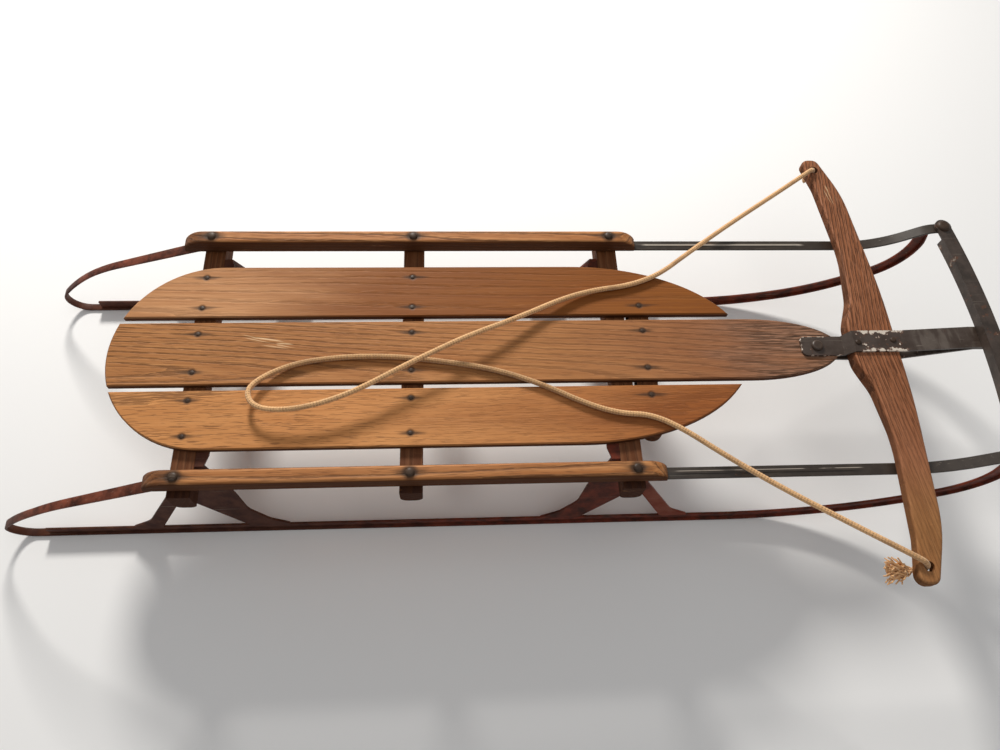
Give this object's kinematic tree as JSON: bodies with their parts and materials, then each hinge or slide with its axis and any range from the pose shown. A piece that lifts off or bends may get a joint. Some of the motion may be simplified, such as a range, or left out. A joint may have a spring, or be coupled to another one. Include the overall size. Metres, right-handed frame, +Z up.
{
  "type": "steerable wooden sled",
  "caption": "Low wooden sled with plank deck, side rails and bent steel runners, steered by a pivoting foot bar that flexes the runner fronts, with a pull rope.",
  "frame": {"origin": "on the ground under the middle of the overall length and width", "axes": "+X forward along the length, +Y to the sled's left, +Z up"},
  "size_m": [1.259, 0.612, 0.207],
  "materials": {
    "deck_wood": "worn oiled",
    "frame_wood": "worn oiled",
    "rail_wood": "worn oiled",
    "steering_wood": "worn varnish",
    "red_steel": "worn paint",
    "runner_steel": "worn paint",
    "bar_steel": "worn paint",
    "strap_steel": "chipped paint",
    "bolt_steel": "dull",
    "rope_cotton": "twisted cotton"
  },
  "bodies": {
    "frame": {"deck_board_left": "deck_wood", "deck_board_center": "deck_wood", "deck_board_right": "deck_wood", "bench_rear": "frame_wood", "bench_middle": "frame_wood", "bench_front": "frame_wood", "deck_cleat_front": "frame_wood", "side_rail_left": "rail_wood", "side_rail_right": "rail_wood", "knee_rear_left": "red_steel", "knee_rear_right": "red_steel", "knee_front_left": "red_steel", "knee_front_right": "red_steel", "runner_left": "runner_steel", "runner_right": "runner_steel", "side_bar_left": "bar_steel", "side_bar_right": "bar_steel", "pivot_bolt": "bolt_steel", "rope": "rope_cotton"},
    "steering": {"steering_bar": "steering_wood", "strap_upper": "strap_steel", "strap_lower": "strap_steel", "rope_knot_left": "rope_cotton", "rope_knot_right": "rope_cotton", "rope_tuft": "rope_cotton"},
    "front_left": {"runner_front_left": "runner_steel", "side_bar_front_left": "bar_steel"},
    "front_right": {"runner_front_right": "runner_steel", "side_bar_front_right": "bar_steel"},
    "bumper": {"front_bumper": "bar_steel"}
  },
  "joints": [
    {"name": "steer", "type": "hinge", "parent": "frame", "child": "steering", "pos_m": [0.4055, 0, 0.165], "axis": [0, 0, 1], "range_deg": [-8, 8], "stiffness_Nm_per_rad": 25, "deforming": ["rope"]},
    {"name": "flex_left", "type": "hinge", "parent": "frame", "child": "front_left", "pos_m": [0.264, 0.1685, 0.1], "axis": [0, 0, 1], "range_deg": [-5, 5]},
    {"name": "flex_right", "type": "hinge", "parent": "frame", "child": "front_right", "pos_m": [0.264, -0.1685, 0.1], "axis": [0, 0, 1], "range_deg": [-5, 5]},
    {"name": "bumper_swing", "type": "hinge", "parent": "front_left", "child": "bumper", "pos_m": [0.6065, 0.165, 0.205], "axis": [0, 0, 1], "range_deg": [-5, 5]}
  ],
  "couplings": [
    {"joint": "flex_left", "follows": "steer", "ratio": 0.58686},
    {"joint": "flex_right", "follows": "steer", "ratio": 0.58686},
    {"joint": "bumper_swing", "follows": "steer", "ratio": -0.58686}
  ]
}
